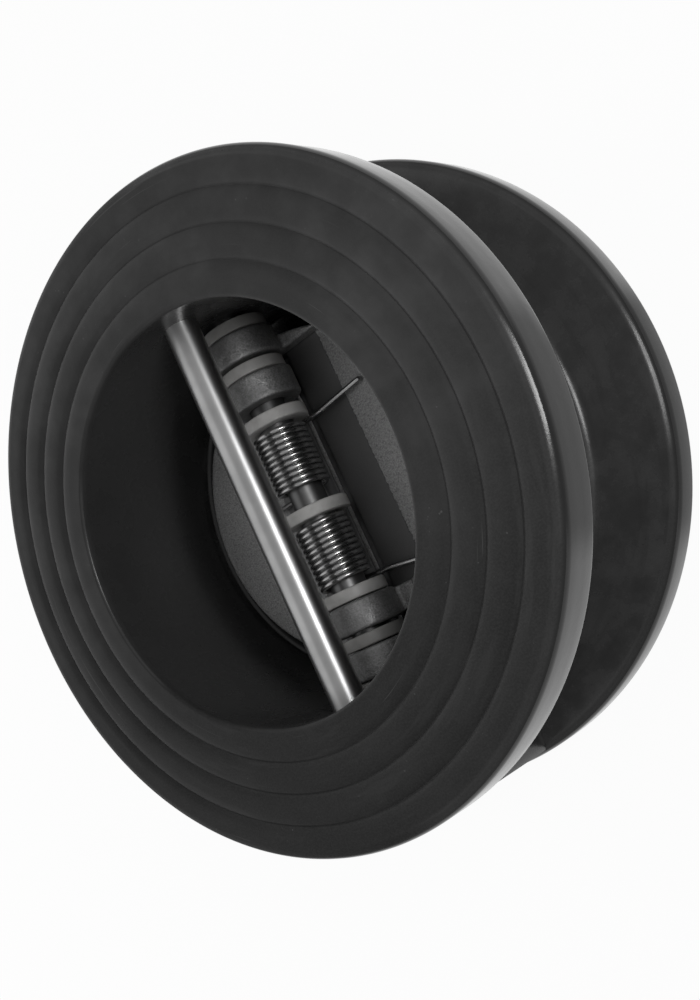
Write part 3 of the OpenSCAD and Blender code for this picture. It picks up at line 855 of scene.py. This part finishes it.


# %% [markdown]
# ### Metals and washers
#
# The plates are shot-blasted castings, so their surface is grainy at a fraction of a
# millimetre and shines only dully. Beside the chord, where the springs work, a strip
# is smooth and darker, and the floor of the relief there is painted darker still as
# the shade beside the springs. Old grease darkens their lugs. The hinge pin, seen only
# in the shaded gaps of the stack, gets a darker copy of the pin metal as painted
# shade. The stop pin is ground and the spring wire is drawn bright. The washers are
# white slip plastic, a little waxy, which light enters, with painted shade at both
# ends of the stack, where the bore wall shades them.

# %% Casting finish
# Metres: where the smooth dark strip ends, its heights, the rise of the relief's floor with its painted
# shade, greasy and worn lugs.
STRIP_EDGE, STRIP_ZONE, RELIEF_SHADE_RISE = (0.01560, 0.01585), (0.0186, 0.0228), (0.0200, 0.0212)
GREASY_FROM, WORN_FROM = (0.027, 0.031), (0.030, 0.034)


def cast_finish():
    """Blasted grain all over, but a smooth and darker strip beside the chord, painted shade on the relief's
    floor, and grease on the lugs.
    """
    tree = Tree("blasted_casting")
    x, _, z = tree.axes()
    grain, pits, stain = tree.noise(2300, 3, 0.65), tree.noise(900, 3, 0.6), tree.noise(60, 4, 0.6)
    ragged = tree.times(tree.math("SUBTRACT", pits, 0.5), 0.0012)
    strip = tree.ramp(tree.math("ADD", tree.math("ABSOLUTE", x), ragged), *STRIP_EDGE, 1.0, 0.0)
    smooth_dark_strip = tree.times(strip, band(tree, z, *STRIP_ZONE, 0.0002))
    raw = tree.math("SUBTRACT", 1.0, tree.times(smooth_dark_strip, 0.75))
    color = tree.mix(tree.ramp(stain, 0.3, 0.7), grey(0.52), grey(0.60))
    hollow = tree.mix(tree.ramp(pits, 0.3, 0.6), grey(0.22), grey(0.34))
    color = tree.mix(tree.ramp(grain, 0.35, 0.7), hollow, color)
    # painted shade: the relief's floor beside the springs is darker than the strip's top
    level = tree.mix(tree.ramp(z, *RELIEF_SHADE_RISE), grey(0.075), grey(0.19))
    color = tree.mix(smooth_dark_strip, color, tree.mix(tree.ramp(stain, 0.3, 0.7), level, grey(0.17)))
    greasy = tree.times(tree.ramp(z, *GREASY_FROM), tree.ramp(stain, 0.35, 0.62, 0.70, 0.35))
    color = tree.mix(greasy, color, grey(0.13))
    worn = tree.times(tree.ramp(stain, 0.50, 0.62), tree.ramp(z, *WORN_FROM))
    rough = tree.mix(worn, tree.ramp(grain, 0.2, 0.8, 0.48, 0.62), grey(0.34))
    tree.bump(tree.times(grain, raw), 0.00014, 0.8)
    tree.bump(tree.times(pits, raw), 0.00022, 0.5)
    return tree.finish(color=color, rough=rough, metal=0.7)


casting = cast_finish()
for plate in (right, left):
    plate.data.materials.append(casting)
print("casting nodes:", len(casting.node_tree.nodes))


# %% [markdown]
# Ground and drawn metal are one recipe: a bright metal whose gloss varies a little.
# On the stop pin the highlight is also drawn out along the axis, because grinding
# leaves marks around a pin.

# %% Pin, wire and washer finishes
def ground_finish(name, shade, rough, brushed=0.0):
    """Bright metal; brushed stretches its highlights along the Y axis."""
    tree = Tree(name)
    hair = tree.noise(1800, 2, 0.5, stretch=(1.0, 9.0, 1.0))
    smear = tree.noise(70, 3, 0.6)
    color = tree.mix(tree.ramp(smear, 0.3, 0.75), grey(shade), grey(shade * 0.82))
    gloss = tree.ramp(smear, 0.3, 0.8, rough, rough + 0.1)
    tree.bump(hair, 0.00001, 0.35)
    if brushed:
        along = tree.node("ShaderNodeCombineXYZ")
        along.inputs[1].default_value = 1.0
        tree.put(tree.shader.inputs["Tangent"], along.outputs[0])
    return tree.finish(color=color, rough=gloss, metal=1.0, aniso=brushed)


def washer_finish():
    """Waxy white, with painted shade at both ends of the stack, where the bore wall shades the washers."""
    tree = Tree("white_slip_plastic")
    y = tree.axes()[1]
    cloud = tree.noise(260, 3, 0.6)
    lathe = tree.noise(1400, 2, 0.5, stretch=(0.25, 3.0, 0.25))
    color = tree.mix(tree.ramp(cloud, 0.35, 0.75), (0.50, 0.495, 0.485, 1), (0.38, 0.375, 0.365, 1))
    # painted shade: the washers darken toward both ends of the stack, where the bore wall shades them
    painted_end_shade = tree.math("ADD", tree.ramp(y, -0.043, -0.018, 0.75, 0.0), tree.ramp(y, 0.028, 0.041, 0.0, 0.55))
    color = tree.mix(painted_end_shade, color, (0.16, 0.158, 0.152, 1))
    tree.bump(lathe, 0.00003, 0.4)
    tree.shader.inputs["Subsurface Radius"].default_value = (0.001, 0.001, 0.001)
    return tree.finish(color=color, rough=tree.ramp(cloud, 0.2, 0.8, 0.38, 0.5), sub=0.15)


slip_plastic = washer_finish()
for pieces, finish in (([stop_pin], ground_finish("ground_pin", 0.62, 0.36, brushed=0.6)),
                       # painted shade: the hinge pin is seen only in shaded gaps, so it gets a darker copy of
                       # the pin metal
                       ([hinge_pin], ground_finish("hinge_pin_painted_shade", 0.20, 0.40)),
                       (springs, ground_finish("drawn_wire", 0.52, 0.22)),
                       (washers, slip_plastic)):
    for piece in pieces:
        piece.data.materials.append(finish)
    print(finish.name, "on", len(pieces), "pieces")


# %% [markdown]
# ### Plugs, rings and the core
#
# The plugs that close the pin bores, their soft sealing rings and the iron core keep
# their exact solids. They only need a finish of their own.

# %% Finishes of the carried-over solids
def core_finish():
    """Raw cast iron, dark and coarse."""
    tree = Tree("raw_iron")
    grain = tree.noise(900, 4, 0.65)
    color = tree.mix(tree.ramp(grain, 0.3, 0.7), grey(0.06), grey(0.16))
    tree.bump(grain, 0.0003, 0.7)
    return tree.finish(color=color, rough=tree.ramp(grain, 0.2, 0.8, 0.6, 0.8), metal=0.6)


def ring_finish():
    """Soft copper-coloured metal."""
    tree = Tree("soft_ring")
    cloud = tree.noise(300, 3, 0.6)
    color = tree.mix(tree.ramp(cloud, 0.3, 0.7), (0.55, 0.30, 0.16, 1), (0.40, 0.21, 0.12, 1))
    return tree.finish(color=color, rough=tree.ramp(cloud, 0.2, 0.8, 0.3, 0.45), metal=1.0)


plug_metal = ground_finish("turned_plug", 0.40, 0.3)
finish_of = {"iron_core": core_finish()}
ring_metal = ring_finish()
for name in ("upper_hinge", "lower_hinge", "upper_stop", "lower_stop"):
    finish_of[f"{name}_plug"] = plug_metal
    finish_of[f"{name}_plug_seal"] = ring_metal
for node, finish in finish_of.items():
    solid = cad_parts[node]
    if not solid.material_slots:
        solid.data.materials.append(finish)
    for slot in solid.material_slots:
        slot.material = finish
print("carried over:", sorted(finish_of))


# %% [markdown]
# ## Camera
#
# The camera stands where the photographer stood. Its place, its turn and its focal
# length come from fitting the circles of the rims, the bore and the plates to the
# photograph, and its tilt about the line of sight puts the pins on their slant.

# %% Camera
camera_data = bpy.data.cameras.new("camera")
camera_data.sensor_width = 36.0
camera_data.sensor_fit = "AUTO"
camera_data.lens = 40.2185
camera_data.shift_x = 0.15886
camera_data.shift_y = 0.07205
camera_data.clip_start = 0.01
camera = bpy.data.objects.new("camera", camera_data)
right_axis = Vector((0.614360, -0.397055, -0.681843))
up_axis = Vector((0.371437, 0.907953, -0.194049))
back_axis = Vector((0.696129, -0.134046, 0.705291))
turn = Matrix((right_axis, up_axis, back_axis)).transposed().to_4x4()
camera.matrix_world = Matrix.Translation((0.168019, -0.041606, 0.251280)) @ turn
bpy.context.scene.collection.objects.link(camera)
bpy.context.scene.camera = camera
print("camera stands at", [round(v, 3) for v in camera.matrix_world.translation])


# %% [markdown]
# ## Light and floor
#
# The valve lies on a white table. Two long, low windows on the far side graze the
# sealing face, which is what draws its creases. A broad soft box higher up on that
# side gives the pins an even sheen, and a small one near the camera draws the bright
# lines on wire and edges. The dark rims mirror the table, and what they mirror is a
# painted glow: a painted shadow, a dark wedge in front of the valve, and a painted pool
# of light close to the valve on one side, white around.

# %% Lamps and world
MIDDLE, BORE_TOP = (0, 0, 0.03), (0, 0, 0.05)


def soft_box(name, aim, azimuth, elevation, distance, width, height, power):
    """Area lamp at the given bearing from the aim point, turned to face it."""
    a, e = math.radians(azimuth), math.radians(elevation)
    away = Vector((math.cos(a) * math.cos(e), math.sin(a) * math.cos(e), math.sin(e)))
    lamp = bpy.data.lights.new(name, "AREA")
    lamp.shape, lamp.size, lamp.size_y, lamp.energy = "RECTANGLE", width, height, power
    holder = bpy.data.objects.new(name, lamp)
    holder.location = Vector(aim) + away * distance
    holder.rotation_euler = away.to_track_quat("Z", "Y").to_euler()
    holder.visible_camera = False
    bpy.context.scene.collection.objects.link(holder)
    return holder


lamps = [
    soft_box("window", MIDDLE, azimuth=147, elevation=7.5, distance=0.9,
             width=0.30, height=0.06, power=4.5),
    soft_box("window_end", MIDDLE, azimuth=192, elevation=7.5, distance=0.9,
             width=0.30, height=0.06, power=3.0),
    soft_box("ceiling", MIDDLE, azimuth=172, elevation=44, distance=0.9,
             width=0.9, height=1.0, power=0.85),
    soft_box("front", BORE_TOP, azimuth=-2, elevation=33, distance=0.22,
             width=0.065, height=0.065, power=0.15),
]
world = bpy.data.worlds.new("studio")
bpy.context.scene.world = world
world.use_nodes = True
world.node_tree.nodes["Background"].inputs["Color"].default_value = (1, 1, 1, 1)
world.node_tree.nodes["Background"].inputs["Strength"].default_value = 0.37
print("lamps:", [lamp.name for lamp in lamps])


# %% [markdown]
# ### Table
#
# The camera should see plain white, so its rays meet mostly an even glow, and rays
# from gloss meet a share of it that depends on the place: a painted shadow, a wedge
# with little glow in front of the valve, and a painted pool of light close to it on
# one side. All other rays meet the ordinary white surface, which keeps the shadow and
# adds no light to the object.

# %% Floor and table finish
CAMERA_SHARE, FAR_REACH, BELOW = 0.95, 9000.0, 0.0004
# The painted shadow wedge lies about the direction -0.183 rad. Radians off it, and the share of glow in it
# and outside.
SHADOW_WEDGE_AT, SHADOW_WEDGE_EDGE, SHADOW_WEDGE_SHARE = 0.183, (0.34, 0.50), (0.08, 0.80)
# Painted pool of light: close to the valve the glow is white on one side. Metres, share, radians off the
# wedge.
LIGHT_POOL_RING, LIGHT_POOL_SHARE, LIGHT_POOL_SIDE = (0.090, 0.110), (0.9, 0.0), (0.24, 0.38)

floor_points = np.array([[[-1, -1, 0], [-1, 1, 0]], [[1, -1, 0], [1, 1, 0]]]) * FAR_REACH
floor = skin("floor", [(floor_points, False, False)])
floor.location.z = -BELOW


def table_finish():
    """White table: its own lit colour, with the plain white of the background mixed in for the camera, and
    for gloss a glow with a painted shadow wedge and a painted pool of light.
    """
    tree = Tree("white_table_painted_glow")
    ray = tree.node("ShaderNodeLightPath").outputs
    mirrored = tree.math("MAXIMUM", ray["Is Glossy Ray"], ray["Is Transmission Ray"])
    x, y, _ = tree.axes()
    radius = plan_radius(tree, x, y)
    bearing = tree.math("ADD", tree.math("ARCTAN2", y, x), SHADOW_WEDGE_AT)
    # painted shadow: in gloss the glow is weak in a wedge in front of the valve
    aside = tree.ramp(tree.math("ABSOLUTE", bearing), *SHADOW_WEDGE_EDGE, *SHADOW_WEDGE_SHARE)
    # painted pool of light: in gloss the glow is strong close to the valve on one side
    close = tree.times(tree.ramp(radius, *LIGHT_POOL_RING, *LIGHT_POOL_SHARE), tree.ramp(bearing, *LIGHT_POOL_SIDE))
    aside = tree.math("MINIMUM", tree.math("ADD", aside, close), 1.0)
    seen = tree.times(ray["Is Camera Ray"], CAMERA_SHARE)
    share = tree.math("ADD", seen, tree.times(mirrored, aside))
    white = tree.node("ShaderNodeEmission")
    blend = tree.node("ShaderNodeMixShader")
    tree.put(blend.inputs[0], share)
    tree.put(blend.inputs[1], tree.shader.outputs[0])
    tree.put(blend.inputs[2], white.outputs[0])
    tree.put(tree.nodes["Material Output"].inputs["Surface"], blend.outputs[0])
    return tree.finish(color=grey(0.86), rough=0.9, spec=0.0)


floor.data.materials.append(table_finish())
bpy.context.scene.view_settings.view_transform = "Standard"
print("floor finish:", floor.data.materials[0].name)
